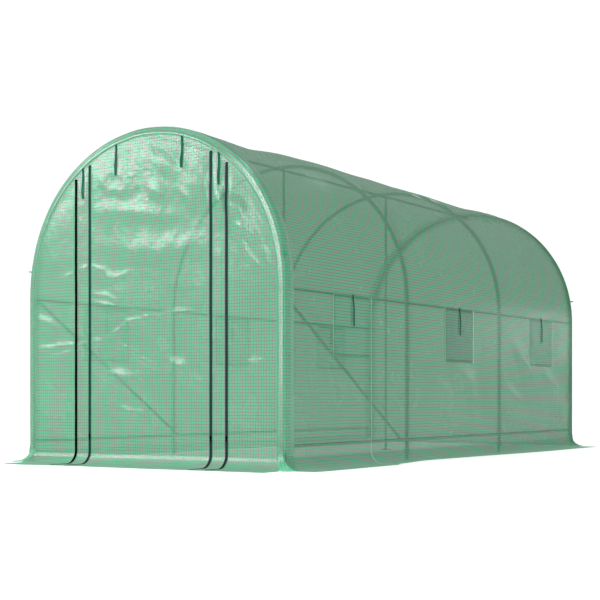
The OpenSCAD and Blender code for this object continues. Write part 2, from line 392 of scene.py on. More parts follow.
def mesh_sheet(name, yarn, film, cover, through, gloss, shine=0.8, lengthwise=0.5, stitches=None):
    """Glossy woven sheet: a grid of green yarns, clearer film between them and perhaps a stitch row.

    cover says how closed the film and the yarns are, through how much light shines through the sheet,
    gloss how rough it is, and lengthwise how far the yarns along it outweigh those across.
    """
    material, nodes, links, shader = new_material(name)
    weave, weave_x, weave_y = weave_axes(nodes, links)
    across = yarn_mask(nodes, links, weave_x, grid_pitch, yarn_width)
    up = yarn_mask(nodes, links, weave_y, grid_pitch, yarn_width)
    grid = math_node(nodes, links, "ADD", math_node(nodes, links, "MULTIPLY", across, 1 - lengthwise),
                     math_node(nodes, links, "MULTIPLY", up, lengthwise))
    clouds = noise_node(nodes, links, weave, 3, 3)
    lighter = tuple(1.10 * c for c in yarn[:3]) + (1,)
    darker = tuple(0.92 * c for c in yarn[:3]) + (1,)
    threads = blend_colours(nodes, links, clouds, darker, lighter)
    colour = blend_colours(nodes, links, grid, film, threads)
    if stitches:
        offset = math_node(nodes, links, "SUBTRACT", weave_y, stitches)
        apart = math_node(nodes, links, "ABSOLUTE", offset, 0)
        row = map_range(nodes, links, apart, 0.0004, 0.0008, 1, 0, "SMOOTHSTEP")
        dashes = yarn_mask(nodes, links, weave_x, stitch_pitch, stitch_l)
        thread = math_node(nodes, links, "MULTIPLY", row, dashes)
        colour = blend_colours(nodes, links, thread, colour, stitch_green)
    links.new(colour, shader.inputs["Base Color"])
    roughness = map_range(nodes, links, clouds, 0.3, 0.7, gloss - 0.04, gloss + 0.05)
    links.new(roughness, shader.inputs["Roughness"])
    links.new(map_range(nodes, links, grid, 0, 1, cover[0], cover[1]), shader.inputs["Alpha"])
    shader.inputs["Specular IOR Level"].default_value = shine
    bump(nodes, links, grid, 0.2, 0.0005, shader)
    glow = nodes.new("ShaderNodeBsdfTranslucent")
    links.new(colour, glow.inputs["Color"])
    both = nodes.new("ShaderNodeMixShader")
    both.inputs["Fac"].default_value = through
    links.new(shader.outputs["BSDF"], both.inputs[1])
    links.new(glow.outputs["BSDF"], both.inputs[2])
    links.new(both.outputs["Shader"], nodes["Material Output"].inputs["Surface"])
    return material


yarn_green = (0.080, 0.530, 0.270, 1)
film_mauve = (0.395, 0.168, 0.270, 1)
wall_lengthwise = 0.68
cover_cloth = mesh_sheet("cover_mesh_sheet", yarn_green, film_mauve, (0.44, 0.80), 0.36, 0.25,
                         lengthwise=wall_lengthwise)
skirt_cloth = mesh_sheet("skirt_mesh_sheet", (0.072, 0.510, 0.262, 1), (0.360, 0.168, 0.258, 1),
                         (0.69, 0.92), 0.30, 0.40, shine=0.2, lengthwise=wall_lengthwise)
# A lighter, more closed strip down each wall from the first window: a painted highlight along a fold.
fold_highlight_cloth = mesh_sheet("fold_highlight_mesh_sheet", (0.32, 0.74, 0.51, 1), (0.56, 0.64, 0.58, 1),
                        (0.76, 0.90), 0.40, 0.30)

flap_low, flap_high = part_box("right_window_flaps")
flap_lap = 0.020
flap_w = 0.470
window_ys = [flap_low.y + flap_w / 2, (flap_low.y + flap_high.y) / 2, flap_high.y - flap_w / 2]
opening_w = flap_w - 2 * flap_lap
opening_low = flap_low.z + flap_lap
opening_high = flap_high.z - flap_lap
corner_trim = 0.018
fold_highlight_y = flap_low.y + flap_w + 0.003
fold_highlight_w = 0.010
skirt_z = 0.9 * turn_r
opening_ys = [y + s * opening_w / 2 for y in window_ys for s in (-1, 1)]
y_stops = sorted([-end_mid, end_mid] + hoop_ys + opening_ys + [fold_highlight_y - fold_highlight_w / 2, fold_highlight_y + fold_highlight_w / 2])
side_stops = [0, 0.3, 0.75, wall_from, wall_from + leg_h - opening_high, wall_from + leg_h - opening_low,
              turn_from, flat_from, skirt_to]
side_lines = np.concatenate([lines(side_stops[:3], 0.013), lines(side_stops[2:6], 0.024)[1:],
                             lines(side_stops[5:7], 0.026)[1:], lines(side_stops[6:], 0.012)[1:]])
along_lines = np.concatenate([-side_lines[:0:-1], side_lines])
# Stretches of the tunnel that the ridge folds lie on, with finer grid lines
crinkled = [(0.22, 0.76), (1.26, 2.08)]
y_lines = lines(y_stops, 0.024)
y_lines = np.unique(np.round(np.concatenate([y_lines] + [lines(span, 0.010) for span in crinkled]), 5))
y_lines = y_lines[np.concatenate([[True], np.diff(y_lines) > 0.002])]
sheet_y, sheet_along = np.meshgrid(y_lines, along_lines, indexing="ij")
section_x, section_z, out_x, out_z = cover_section(sheet_along)
sheet_end = end_mid - corner_trim * (1 - ease(np.abs(sheet_along), turn_from - 0.06, turn_from))
trim_from = hoop_ys[-1] - 0.2
past = np.clip(np.abs(sheet_y) - trim_from, 0, None)
trimmed = np.minimum(np.abs(sheet_y), trim_from) + past * (sheet_end - trim_from) / (end_mid - trim_from)
true_y = np.sign(sheet_y) * trimmed
on_skirt = np.clip(np.abs(sheet_along) - flat_from, 0, None)
uneven = np.interp(sheet_y, *zip(*skirt_edges)) * on_skirt / (skirt_to - flat_from)
section_x = section_x + np.sign(sheet_along) * uneven
stand = cover_relief(true_y, sheet_along)
cover_places = np.stack([section_x + stand * out_x, true_y, section_z + stand * out_z], axis=-1)
cover_weave = np.stack([true_y, sheet_along], axis=-1)
mid_y = (y_lines[1:] + y_lines[:-1]) / 2
mid_z = leg_h + wall_from - np.abs((along_lines[1:] + along_lines[:-1]) / 2)
in_window_y = np.any([np.abs(mid_y - y) < opening_w / 2 for y in window_ys], axis=0)
in_window_z = (mid_z > opening_low) & (mid_z < opening_high)
in_window = in_window_y[:, None] & in_window_z[None, :]
cover_sheet = sheet_piece("cover_sheet", cover_places, cover_weave, ~in_window)
for material in (cover_cloth, skirt_cloth, fold_highlight_cloth):
    cover_sheet.data.materials.append(material)
for face in cover_sheet.data.polygons:
    # The narrow strip below the first window takes the painted highlight cloth, the foot the skirt cloth.
    in_fold_highlight = abs(face.center.y - fold_highlight_y) < fold_highlight_w / 2 and face.center.z < flap_low.z
    face.material_index = 2 if in_fold_highlight else int(face.center.z < skirt_z)
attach(cover_sheet, "root")
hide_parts("left_roof_cover", "right_roof_cover", "left_wall_cover", "right_wall_cover",
            "left_skirt", "right_skirt")

# Door end
# The same sheet cut to the outline of the end hoop: two fixed panels, a narrow strip beside each
# outer zip and the door that rolls up between the inner zips. Each runs down into its part of the skirt.
zip_w = 0.020
zips_low, zips_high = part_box("door_zips")
door_low, door_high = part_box("door_panel")
zip_xs = [zips_low.x + zip_w / 2, door_low.x - 0.001, door_high.x + 0.001, zips_high.x - zip_w / 2]
panel_r = cover_r - corner_trim
skirt_flat = abs(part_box("front_skirt")[0].y) - end_mid - turn_r
# How far the edge of the front skirt lies out or in, at places across the door end
end_edges = [(-1.0, 0.03), (-0.76, 0.045), (-0.60, 0.012), (-0.45, 0.0), (0.0, 0.008), (0.3, 0.0),
             (0.6, -0.014), (1.0, -0.02)]
turn_len = turn_r * math.pi / 2
panel_rise = skirt_flat + turn_len - bend_z
sheet_rise = leg_h + panel_r + panel_rise
end_skirt_z = turn_r / 3
foot_v = 0.42
even_half_w = 0.62
hem_lap = 0.054
hem_inner_r = cover_r - hem_lap
# Folds of the door end: route across and up, half width and rise
front_folds = [
    ([(-0.969, 0.725), (-0.843, 0.745), (-0.612, 0.757), (-0.461, 0.774), (-0.343, 0.779)], 0.018, 0.0058),
    ([(-0.859, 0.690), (-0.612, 0.712), (-0.469, 0.728)], 0.014, 0.0041),
    ([(-0.326, 0.786), (-0.252, 0.826), (-0.166, 0.891), (-0.109, 0.900), (0.046, 0.926)], 0.018, 0.0050),
    ([(0.042, 0.915), (0.249, 0.935), (0.356, 0.925)], 0.022, 0.0048),
    ([(-0.262, 0.772), (-0.119, 0.713), (-0.034, 0.646), (0.064, 0.611)], 0.018, 0.0056),
    ([(-0.338, 0.558), (-0.173, 0.551), (-0.045, 0.533)], 0.046, 0.0140),
    ([(0.147, 0.638), (0.317, 0.570)], 0.050, 0.0122),
    ([(0.267, 0.561), (0.441, 0.481)], 0.030, 0.0075),
    ([(0.732, 0.628), (0.922, 0.573)], 0.040, 0.0065),
    ([(-0.722, 1.175), (-0.615, 1.215), (-0.479, 1.253), (-0.361, 1.225), (-0.273, 1.097)], 0.018, 0.0046),
    ([(-0.480, 1.084), (-0.318, 1.066), (-0.259, 1.030)], 0.018, 0.0050),
    ([(-0.479, 1.039), (-0.346, 1.009), (-0.258, 0.989)], 0.016, 0.0042),
    ([(-0.402, 1.177), (-0.284, 1.160), (-0.140, 1.197)], 0.024, 0.0050),
    ([(-0.132, 1.348), (0.110, 1.323), (0.381, 1.333)], 0.075, 0.0104),
    ([(-0.466, 1.599), (-0.289, 1.586), (-0.032, 1.559), (0.245, 1.514)], 0.045, 0.0070),
    ([(-0.007, 1.915), (0.167, 1.815), (0.370, 1.690), (0.443, 1.645)], 0.075, 0.0120),
    ([(0.236, 1.690), (0.317, 1.624), (0.357, 1.589)], 0.030, 0.0080),
    ([(0.009, 1.742), (0.132, 1.652)], 0.050, 0.0110),
    ([(0.530, 1.612), (0.670, 1.522), (0.770, 1.422)], 0.070, 0.0285),
    ([(0.650, 1.438), (0.750, 1.388), (0.820, 1.358)], 0.034, 0.0140),
    ([(0.613, 1.422), (0.681, 1.372), (0.757, 1.242), (0.833, 1.177)], 0.018, 0.0078),
    ([(0.835, 1.323), (0.890, 1.193)], 0.024, 0.0086),
    ([(-0.945, 0.948), (-0.773, 0.873)], 0.026, 0.0050),
    ([(-0.261, 0.355), (-0.033, 0.302)], 0.034, 0.0095),
    ([(0.613, 0.836), (0.690, 0.801)], 0.022, 0.0035),
    ([(-0.430, 1.838), (-0.310, 1.728), (-0.170, 1.718)], 0.034, 0.0055),
]


def crinkle(a, b, scale, seed):
    """Sharp little ridges between smooth hollows, as in a film that has lain folded."""
    return 1 - 4 * np.abs(unrest(a, b, scale, seed))


def hem_gap(x, z):
    """How far a place on an end sheet lies inside the inner edge of the hem band."""
    return hem_inner_r - np.where(z > leg_h, np.hypot(x, z - leg_h), np.abs(x))


def front_relief(x, z):
    """How far the sheet of the door end stands out of its flat plane."""
    bent_x = x + 0.012 * unrest(x, z, 8, 31.0) + 0.005 * unrest(x, z, 21, 33.0)
    bent_z = z + 0.012 * unrest(x, z, 8, 41.0) + 0.005 * unrest(x, z, 21, 43.0)
    relief = folds(bent_x, bent_z, front_folds)
    relief *= 1 + 0.35 * unrest(x, z, 10, 51.0)
    below_hem = hem_gap(x, z)
    relief += 0.006 * ease(below_hem, 0, 0.16) * ease(z, 1.35, 1.75)
    relief += 0.007 * unrest(x, z, 2.4, 11.0) + 0.0030 * unrest(x, z, 6.5, 3.0)
    creased = 0.45 + 0.55 * np.exp(-((x + 0.22) / 0.30) ** 2 - ((z - 1.85) / 0.16) ** 2)
    relief += creased * (0.0012 * crinkle(x, z, 11, 6.0) + 0.0006 * crinkle(x, z, 24, 9.0))
    for zip_x in zip_xs:
        relief *= 1 - 0.97 * np.exp(-((x - zip_x) / 0.024) ** 2)
    return relief * ease(below_hem, -0.005, 0.04) * ease(z, 0.10, 0.2)


def end_place(u, v, relief, lift=0.0):
    """Place on the door end at u across it and v up along the sheet from the edge of the skirt."""
    turn = np.clip(v - skirt_flat, 0, turn_len) / turn_r
    flat = np.clip(skirt_flat - v, 0, None) * (1 + np.interp(u, *zip(*end_edges)) / skirt_flat)
    out = turn_r * (1 - np.sin(turn)) + flat
    z = bend_z - turn_r * np.cos(turn) + np.clip(v - skirt_flat - turn_len, 0, None)
    past_even = np.clip(np.abs(u) - even_half_w, 0, None)
    edge = panel_r + corner_trim * (1 - ease(z, bend_z, bend_z + 0.06))
    spread = past_even * (edge - even_half_w) / (panel_r - even_half_w)
    x = np.sign(u) * (np.minimum(np.abs(u), even_half_w) + spread)
    stand = relief(x, z) + lift
    return np.stack([x, -(end_mid + out) - np.sin(turn) * stand, z + np.cos(turn) * stand], axis=-1)


def end_sheets(names, cuts, relief, step):
    """Sheets of one tunnel end, cut to the arch and slit along upright lines."""
    stops = [-panel_r] + cuts + [panel_r]
    u_lines = lines(stops, step)
    v_lines = np.concatenate([lines([0, skirt_flat, skirt_flat + turn_len, foot_v], 0.012),
                              lines([foot_v, sheet_rise], step)[1:]])
    grid_u, grid_v = np.meshgrid(u_lines, v_lines, indexing="ij")
    blank_places = np.stack([grid_u, 0 * grid_u, grid_v], axis=-1)
    blank = sheet_piece("blank", blank_places, blank_places[..., ::2])
    cut = bmesh.new()
    cut.from_mesh(blank.data)
    bpy.data.meshes.remove(blank.data)
    for angle in np.linspace(0, math.pi, 90):
        across = Vector((math.cos(angle), 0, math.sin(angle)))
        middle = Vector((0, 0, leg_h + panel_rise))
        bmesh.ops.bisect_plane(cut, geom=cut.verts[:] + cut.edges[:] + cut.faces[:], dist=1e-6,
                               plane_co=middle + panel_r * across, plane_no=across, clear_outer=True)
    bmesh.ops.remove_doubles(cut, verts=cut.verts[:], dist=1e-5)
    flat = np.array([vertex.co for vertex in cut.verts])
    places = end_place(flat[:, 0], flat[:, 2], relief)
    cut.verts.index_update()
    pieces = []
    for name, low, high in zip(names, stops, stops[1:]):
        inside = [face for face in cut.faces if low < face.calc_center_median().x < high]
        faces = [[vertex.index for vertex in face.verts][::-1] for face in inside]
        used, order = np.unique(np.concatenate(faces), return_inverse=True)
        ends = np.cumsum([len(face) for face in faces])
        faces = [part.tolist() for part in np.split(order, ends[:-1])]
        weave = np.column_stack([places[used, 0], flat[used, 2]])
        piece = mesh_piece(name, places[used], faces, weave[order])
        piece.data.materials.append(end_cloth)
        piece.data.materials.append(skirt_cloth)
        for face in piece.data.polygons:
            face.material_index = int(face.center.z < end_skirt_z)
        pieces.append(piece)
    cut.free()
    return pieces


end_cloth = mesh_sheet("end_mesh_sheet", yarn_green, film_mauve, (0.44, 0.80), 0.36, 0.25)
front_names = ["front_left_sheet", "left_door_strip", "door_sheet", "right_door_strip", "front_right_sheet"]
front_nodes = ["front_left_panel", "door_edge_strips", "door_panel", "door_edge_strips", "front_right_panel"]
for piece, node in zip(end_sheets(front_names, zip_xs, front_relief, 0.008), front_nodes):
    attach(piece, "root")
    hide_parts(node, "front_skirt")

# Rear end
# One closed sheet cut to the outline of the rear hoop, sewn to the cover all round, with its own skirt.
def rear_relief(x, z):
    """How far the rear sheet stands out of its flat plane: the same soft folds as any hung sheet."""
    relief = np.zeros(np.shape(x))
    for route, half_width, rise in front_folds[2:14:2]:
        relief += fold(0.8 * x - 0.1, 0.8 * z + 0.2, route, 1.3 * half_width, 0.8 * rise)
    relief += 0.006 * unrest(x, z, 2.0, 21.0) + 0.002 * unrest(x, z, 6.0, 8.0)
    return relief * ease(hem_gap(x, z) + 0.01, 0, 0.05) * ease(z, 0.09, 0.2)


rear_sheet = end_sheets(["rear_sheet"], [], rear_relief, 0.018)[0]
for vertex in rear_sheet.data.vertices:
    vertex.co = Vector((-vertex.co.x, -vertex.co.y, vertex.co.z))
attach(rear_sheet, "root")
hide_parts("rear_panel", "rear_skirt")

# Hem bands
# A doubled band of the sheet folded over each end hoop: it joins the end sheet to the cover, lies flat
# on the end, turns round the tube and is stitched down along both of its edges.
inner_row = 0.007
outer_row = 0.137
hem_cloth = mesh_sheet("hem_mesh_sheet", (0.095, 0.600, 0.320, 1), (0.500, 0.270, 0.356, 1),
                       (0.55, 0.86), 0.38, 0.18, shine=0.9, stitches=inner_row)
wrap_cloth = mesh_sheet("hem_wrap_sheet", (0.100, 0.820, 0.440, 1), (0.520, 0.330, 0.410, 1),
                        (0.62, 0.90), 0.38, 0.25)
# The outer edge of the front band is painted lighter, a painted highlight along the edge; its stitch row is
# real.
hem_edge_highlight_cloth = mesh_sheet("hem_edge_highlight_sheet", (0.300, 0.720, 0.480, 1), (0.680, 0.500, 0.560, 1),
                            (0.60, 0.86), 0.40, 0.30, stitches=outer_row)
thin_hem_cloth = mesh_sheet("rear_hem_sheet", (0.085, 0.640, 0.330, 1), (0.420, 0.240, 0.320, 1),
                            (0.16, 0.34), 0.40, 0.25)
hoop_r = (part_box("front_right_leg")[0].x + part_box("front_right_leg")[1].x) / 2
hoop_y = abs(hoop_ys[0])
band_gap = 0.0142
band_tilt = math.radians(13)
lean_w = 0.030
band_wrap_to = hoop_y - abs(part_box("front_hem")[1].y)


def hem_band(name, side):
    """A band from its inner edge over the lap and the lean, round the tube and back over the cover."""
    turn = np.linspace(band_tilt, math.pi / 2, 8)[1:]
    lean_to = hoop_r + band_gap * math.sin(band_tilt)
    lean = lean_to - lean_w + np.linspace(0, lean_w, 5)
    lean_out = hoop_y + band_gap * math.cos(band_tilt) + (lean_to - lean) * math.tan(band_tilt)
    share = np.linspace(0, 1, 6)[:-1]
    lap_w = lean[0] - hem_inner_r
    lap_out = ((end_mid + 0.0008) * (1 + 2 * share) * (1 - share) ** 2
               + 0.12 * lap_w * share * (1 - share) ** 2
               + lean_out[0] * share ** 2 * (3 - 2 * share)
               + math.tan(band_tilt) * lap_w * share ** 2 * (1 - share))
    side_backs = np.linspace(0, band_wrap_to, 6)[1:]
    side_lift = 0.0016 * ease(side_backs, 0, 0.02)
    radii = np.concatenate([hem_inner_r + lap_w * share, lean, hoop_r + band_gap * np.sin(turn),
                            hoop_r + band_gap + side_lift])
    outs = np.concatenate([lap_out, lean_out, hoop_y + band_gap * np.cos(turn), hoop_y - side_backs])
    rise = leg_h - bend_z
    leg_run = np.concatenate([lines([0, rise], 0.025), lines([rise, rise + turn_len], 0.010)[1:]])
    arch_l = math.pi * cover_r
    route = np.concatenate([-leg_run[::-1], lines([0, arch_l], 0.02)[1:], arch_l + leg_run[1:]])
    angle = np.clip(route / cover_r, 0, math.pi)
    leg_down = np.where(route < 0, -route, np.clip(route - arch_l, 0, None))
    foot = np.clip(leg_down - rise, 0, None) / turn_r
    down = np.minimum(leg_down, rise) + (turn_r - 0.003) * np.sin(foot)
    flare = turn_r * (1 - np.cos(foot))
    centre = np.column_stack([-np.cos(angle), np.sin(angle)])
    wave = 0.0010 * np.array([noise.noise(Vector((7 * r, side, 4.0))) for r in route])
    wave = wave + crown(side * hoop_y, np.abs(route - wall_from))
    x = centre[:, :1] * (radii[None, :] + wave[:, None] + flare[:, None])
    z = leg_h + centre[:, 1:] * (radii[None, :] + wave[:, None]) - down[:, None]
    y = side * (outs[None, :] + flare[:, None])
    lengths = np.concatenate([[0], np.cumsum(np.hypot(np.diff(radii), np.diff(outs)))])
    weave = np.stack([route[:, None] + 0 * x, lengths[None, :] + 0 * x], axis=-1)
    band = sheet_piece(name, np.stack([x, y, z], axis=-1), weave, flip=side < 0)
    for material in (hem_cloth, wrap_cloth, hem_edge_highlight_cloth):
        band.data.materials.append(material if side < 0 else thin_hem_cloth)
    across = len(radii) - 1
    for face in band.data.polygons:
        column = face.index % across
        # The last two columns, at the outer edge of the front band, take the cloth with the painted
        # highlight.
        face.material_index = int(column >= len(share) + len(lean) + 1) + int(column >= across - 2)
        if face.center.z < turn_r:
            face.material_index = 1
    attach(band, "root")
    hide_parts("front_hem" if side < 0 else "rear_hem")


hem_band("front_hem_band", -1)
hem_band("rear_hem_band", 1)

# Windows
# Each opening has an insect net sewn behind it and a flap of the cover sheet in front, sewn along its
# top, with a pale hook-and-loop strip down each side. The flaps of the three bays differ a little in tone.
flap_yarn = (0.052, 0.450, 0.228)
flap_film = (0.290, 0.150, 0.225)
# Factors that set each bay's flaps lighter or darker
flap_tone_factors = (1.22, 0.88, 1.12)
flap_cloths = []
for number, tone_factor in enumerate(flap_tone_factors, 1):
    toned_colours = [tuple(tone_factor * part for part in colour) + (1,) for colour in (flap_yarn, flap_film)]
    flap_cloths.append(mesh_sheet(f"flap_mesh_sheet_{number}", *toned_colours, (0.46, 0.80), 0.34, 0.30,
                                  lengthwise=wall_lengthwise))
# Widths of the front and the rear strip of each flap
strip_ws = ((0.004, 0.006), (0.005, 0.012), (0.004, 0.006))
flap_h = flap_high.z - flap_low.z
flap_hem = 0.012
flap_step = 0.015
net_pitch = 0.0052
net_thread = 0.003
net_step = 0.03


def thread_cloth(name, dark, light, grain, roughness, strength, distance, shine=0.5):
    """Matt woven stuff in two tones of one colour, too fine to show its single threads."""
    material, nodes, links, shader = new_material(name)
    place = nodes.new("ShaderNodeTexCoord").outputs["Object"]
    threads = noise_node(nodes, links, place, grain, 2)
    two_tone(nodes, links, threads, dark, light, shader)
    shader.inputs["Roughness"].default_value = roughness
    shader.inputs["Specular IOR Level"].default_value = shine
    bump(nodes, links, threads, strength, distance, shader)
    return material


strip_cloth = thread_cloth("hook_and_loop_strip", (0.34, 0.62, 0.47, 1), (0.48, 0.76, 0.61, 1),
                           grain=800, roughness=0.8, strength=0.5, distance=0.001)

net_cloth, nodes, links, shader = new_material("insect_net")
net_ways = [yarn_mask(nodes, links, way, net_pitch, net_thread) for way in weave_axes(nodes, links)[1:]]
net_lines = math_node(nodes, links, "MAXIMUM", *net_ways)
two_tone(nodes, links, net_lines, (0.05, 0.14, 0.09, 1), (0.09, 0.24, 0.15, 1), shader)
shader.inputs["Roughness"].default_value = 0.6
shader.inputs["Alpha"].default_value = 0.18


def flap_out(side, y, across, drop):
    """How far a flap stands out of the even wall, at a place across it and down from its top."""
    belly = np.sin(np.pi * np.clip(drop / flap_h, 0, 1)) * (1 - (2 * across / flap_w) ** 2)
    hang = 0.0022 + 0.004 * belly + 0.0012 * unrest(across, drop, 14, 3 + y + side) * ease(drop, 0, 0.05)
    return hang + cover_relief(y + across, side * (wall_from + leg_h - flap_high.z + drop))


def window_flap(name, side, y, cloth, front_strip, rear_strip):
    across = lines([-flap_w / 2, -flap_w / 2 + front_strip, flap_w / 2 - rear_strip, flap_w / 2], flap_step)
    drop = lines([0, flap_h - flap_hem, flap_h], flap_step)
    grid_a, grid_d = np.meshgrid(across, drop, indexing="ij")
    stand = flap_out(side, y, grid_a, grid_d)
    places = np.stack([side * (cover_r + stand), y + grid_a, flap_high.z - grid_d], axis=-1)
    flap = sheet_piece(name, places, np.stack([y + grid_a, grid_d], axis=-1), flip=side < 0)
    flap.data.materials.append(cloth)
    flap.data.materials.append(strip_cloth)
    for face in flap.data.polygons:
        at = face.center.y - y
        face.material_index = int(at < front_strip - flap_w / 2 or at > flap_w / 2 - rear_strip)
    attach(flap, "root")
    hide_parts("right_window_flaps" if side > 0 else "left_window_flaps")


def window_net(name, side, y):
    half_w = flap_w / 2 - flap_lap / 2
    half_h = flap_h / 2 - flap_lap / 2
    middle = (flap_low.z + flap_high.z) / 2
    across = lines([-half_w, half_w], net_step)
    grid_a, grid_d = np.meshgrid(across, lines([-half_h, half_h], net_step), indexing="ij")
    wall = cover_relief(y + grid_a, side * (wall_from + leg_h - middle - grid_d))
    places = np.stack([side * (cover_r + wall - 0.0018), y + grid_a, middle + grid_d], axis=-1)
    net = sheet_piece(name, places, np.stack([grid_a, grid_d], axis=-1), flip=side > 0)
    net.data.materials.append(net_cloth)
    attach(net, "root")
    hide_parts("right_window_nets" if side > 0 else "left_window_nets")


for side, side_name in ((-1, "left"), (1, "right")):
    for number, y in enumerate(window_ys, 1):
        window_flap(f"{side_name}_flap_{number}", side, y, flap_cloths[number - 1], *strip_ws[number - 1])
        window_net(f"{side_name}_net_{number}", side, y)

# Zips
# Coil zips on a woven tape, sewn over the slits of the door end from the hem down and out along the
# skirt. The outer left one is black, the others are slate grey.
zip_lift = 0.0030
coil_w = 0.006
coil_h = 0.0022
coil_notch = 0.0007
zip_inset = 0.004
zip_finish = {"grain": 700, "roughness": 0.85, "strength": 0.3, "distance": 0.0005, "shine": 0.0}
black_zip = thread_cloth("black_zip_tape", (0.001, 0.001, 0.001, 1), (0.004, 0.004, 0.004, 1), **zip_finish)
slate_zip = thread_cloth("slate_zip_tape", (0.012, 0.026, 0.028, 1), (0.026, 0.048, 0.050, 1), **zip_finish)


def door_zip(name, x, material):
    top_v = leg_h + math.sqrt(hem_inner_r ** 2 - x ** 2) + panel_rise
    v = lines([zip_inset, skirt_flat, skirt_flat + turn_len, top_v + zip_inset], 0.008)
    offsets = np.array([-zip_w / 2, -coil_w / 2, -coil_w / 4, 0, coil_w / 4, coil_w / 2, zip_w / 2])
    heights = np.array([0, 0.0002, coil_h * 0.85, coil_h, coil_h * 0.85, 0.0002, 0])
    grid_v, grid_o = np.meshgrid(v, offsets, indexing="ij")
    lift = zip_lift + 0 * grid_v + heights[None, :]
    lift[::2, 2:5] -= coil_notch
    places = end_place(x + grid_o, grid_v, front_relief, lift)
    piece = sheet_piece(name, places, np.stack([grid_o, grid_v], axis=-1))
    piece.data.materials.append(material)
    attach(piece, "root")
    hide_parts("door_zips")


for name, x in zip(("zip_outer_left", "zip_inner_left", "zip_inner_right", "zip_outer_right"), zip_xs):
    door_zip(name, x, black_zip if name == "zip_outer_left" else slate_zip)

# Zip sliders
# Cast sliders with a pull tab, run down to the foot of the closed zips. One is modelled and copied to
# each zip.
slider_v = skirt_flat + turn_len + 0.10
slider_box = (0.011, 0.0052, 0.016)
bridge_box = (0.0036, 0.0030, 0.0070)
bridge_place = (0, -0.0036, 0.003)
tab_box = (0.0070, 0.0014, 0.030)
tab_place = (0, -0.0044, -0.013)

bpy.ops.object.select_all(action="DESELECT")
bpy.ops.mesh.primitive_cube_add(size=1, location=(0, 0, 0))
slider = bpy.context.object
bpy.ops.object.mode_set(mode="EDIT")
bpy.ops.mesh.select_all(action="SELECT")
bpy.ops.transform.resize(value=slider_box)
bpy.ops.mesh.bevel(offset=0.0016, segments=3)
bpy.ops.mesh.primitive_cube_add(size=1, location=bridge_place, scale=bridge_box)
bpy.ops.mesh.bevel(offset=0.0012, segments=2)
bpy.ops.mesh.primitive_cube_add(size=1, location=tab_place, scale=tab_box)
bpy.ops.mesh.bevel(offset=0.0006, segments=2)
bpy.ops.object.mode_set(mode="OBJECT")

slider_settings = []
for x in zip_xs:
    at = end_place(np.array([x]), np.array([slider_v]), front_relief, zip_lift + coil_h)[0]
    slider_settings.append(Matrix.Translation(Vector(at)))
zip_sliders = copies("zip_sliders", slider, slider_settings)
zip_sliders.data.materials.append(black_zip)
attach(zip_sliders, "root")

# Ties
# Flat woven tapes, one outside and one inside at each place, sewn under the hem over the door and at
# the tops of the windows. They hang free until a rolled-up door or flap is tied.
tape_w = 0.013
tape_t = 0.0016
rib_pitch = 0.0024
rib_w = 0.0014
mm = 0.001
# Route of a hanging tape in millimetres: sideways, outwards and up from where it is sewn on
tape_route = [(0, 0, 8), (0, 0, 0), (1, 0, -25), (3, 1, -50), (4, 2, -80), (2, 3, -110), (1, 3, -140),
              (3, 2, -165), (5, 1, -189)]

tape_cloth, nodes, links, shader = new_material("green_tie_tape")
tape_run = weave_axes(nodes, links)[2]
rib = yarn_mask(nodes, links, tape_run, rib_pitch, rib_w)
two_tone(nodes, links, rib, (0.002, 0.070, 0.042, 1), (0.005, 0.120, 0.076, 1), shader)
shader.inputs["Roughness"].default_value = 0.8
shader.inputs["Specular IOR Level"].default_value = 0.1
bump(nodes, links, rib, 0.5, 0.0005, shader)


def smooth_route(points, parts):
    """Points along a smooth curve through a route's own points."""
    ends = [2 * points[0] - points[1], *points, 2 * points[-1] - points[-2]]
    curve = []
    for p, q, r, s in zip(ends, ends[1:], ends[2:], ends[3:]):
        for t in np.arange(parts) / parts:
            curve.append(0.5 * (2 * q + (r - p) * t + (2 * p - 5 * q + 4 * r - s) * t ** 2
                                + (3 * q - p - 3 * r + s) * t ** 3))
    return np.array(curve + [points[-1]])


def tie_tape(name, top, side_dir, out_dir, node, sheet_out=None):
    across, outward, upward = np.array(side_dir), np.array(out_dir), np.array((0, 0, 1))
    points = [np.array(top) + mm * (a * across + b * outward + c * upward) for a, b, c in tape_route]
    centre = smooth_route(points, 4)
    if sheet_out:
        centre = centre + np.outer(sheet_out(centre), out_dir)
    half_w, half_t = tape_w / 2, tape_t / 2
    flat_w, edge_t = 0.8 * half_w, 0.5 * half_t
    ring = [(-half_w, -edge_t), (-flat_w, -half_t), (flat_w, -half_t), (half_w, -edge_t),
            (half_w, edge_t), (flat_w, half_t), (-flat_w, half_t), (-half_w, edge_t)]
    rings = np.array([[c + a * across + b * outward for a, b in ring] for c in centre])
    count = len(ring)
    run = np.concatenate([[0], np.cumsum(np.linalg.norm(np.diff(centre, axis=0), axis=1))])
    faces = []
    for start in range(0, (len(centre) - 1) * count, count):
        for j in range(count):
            beside = (j + 1) % count
            faces.append([start + j, start + beside, start + count + beside, start + count + j])
    faces += [list(range(count))[::-1], [(len(centre) - 1) * count + j for j in range(count)]]
    flat = np.column_stack([np.tile([a for a, b in ring], len(centre)), np.repeat(run, count)])
    tape = mesh_piece(name, rings.reshape(-1, 3), faces, flat[np.concatenate(faces)])
    shaping = bmesh.new()
    shaping.from_mesh(tape.data)
    bmesh.ops.recalc_face_normals(shaping, faces=shaping.faces[:])
    shaping.to_mesh(tape.data)
    shaping.free()
    tape.data.materials.append(tape_cloth)
    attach(tape, "root")
    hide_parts(node)


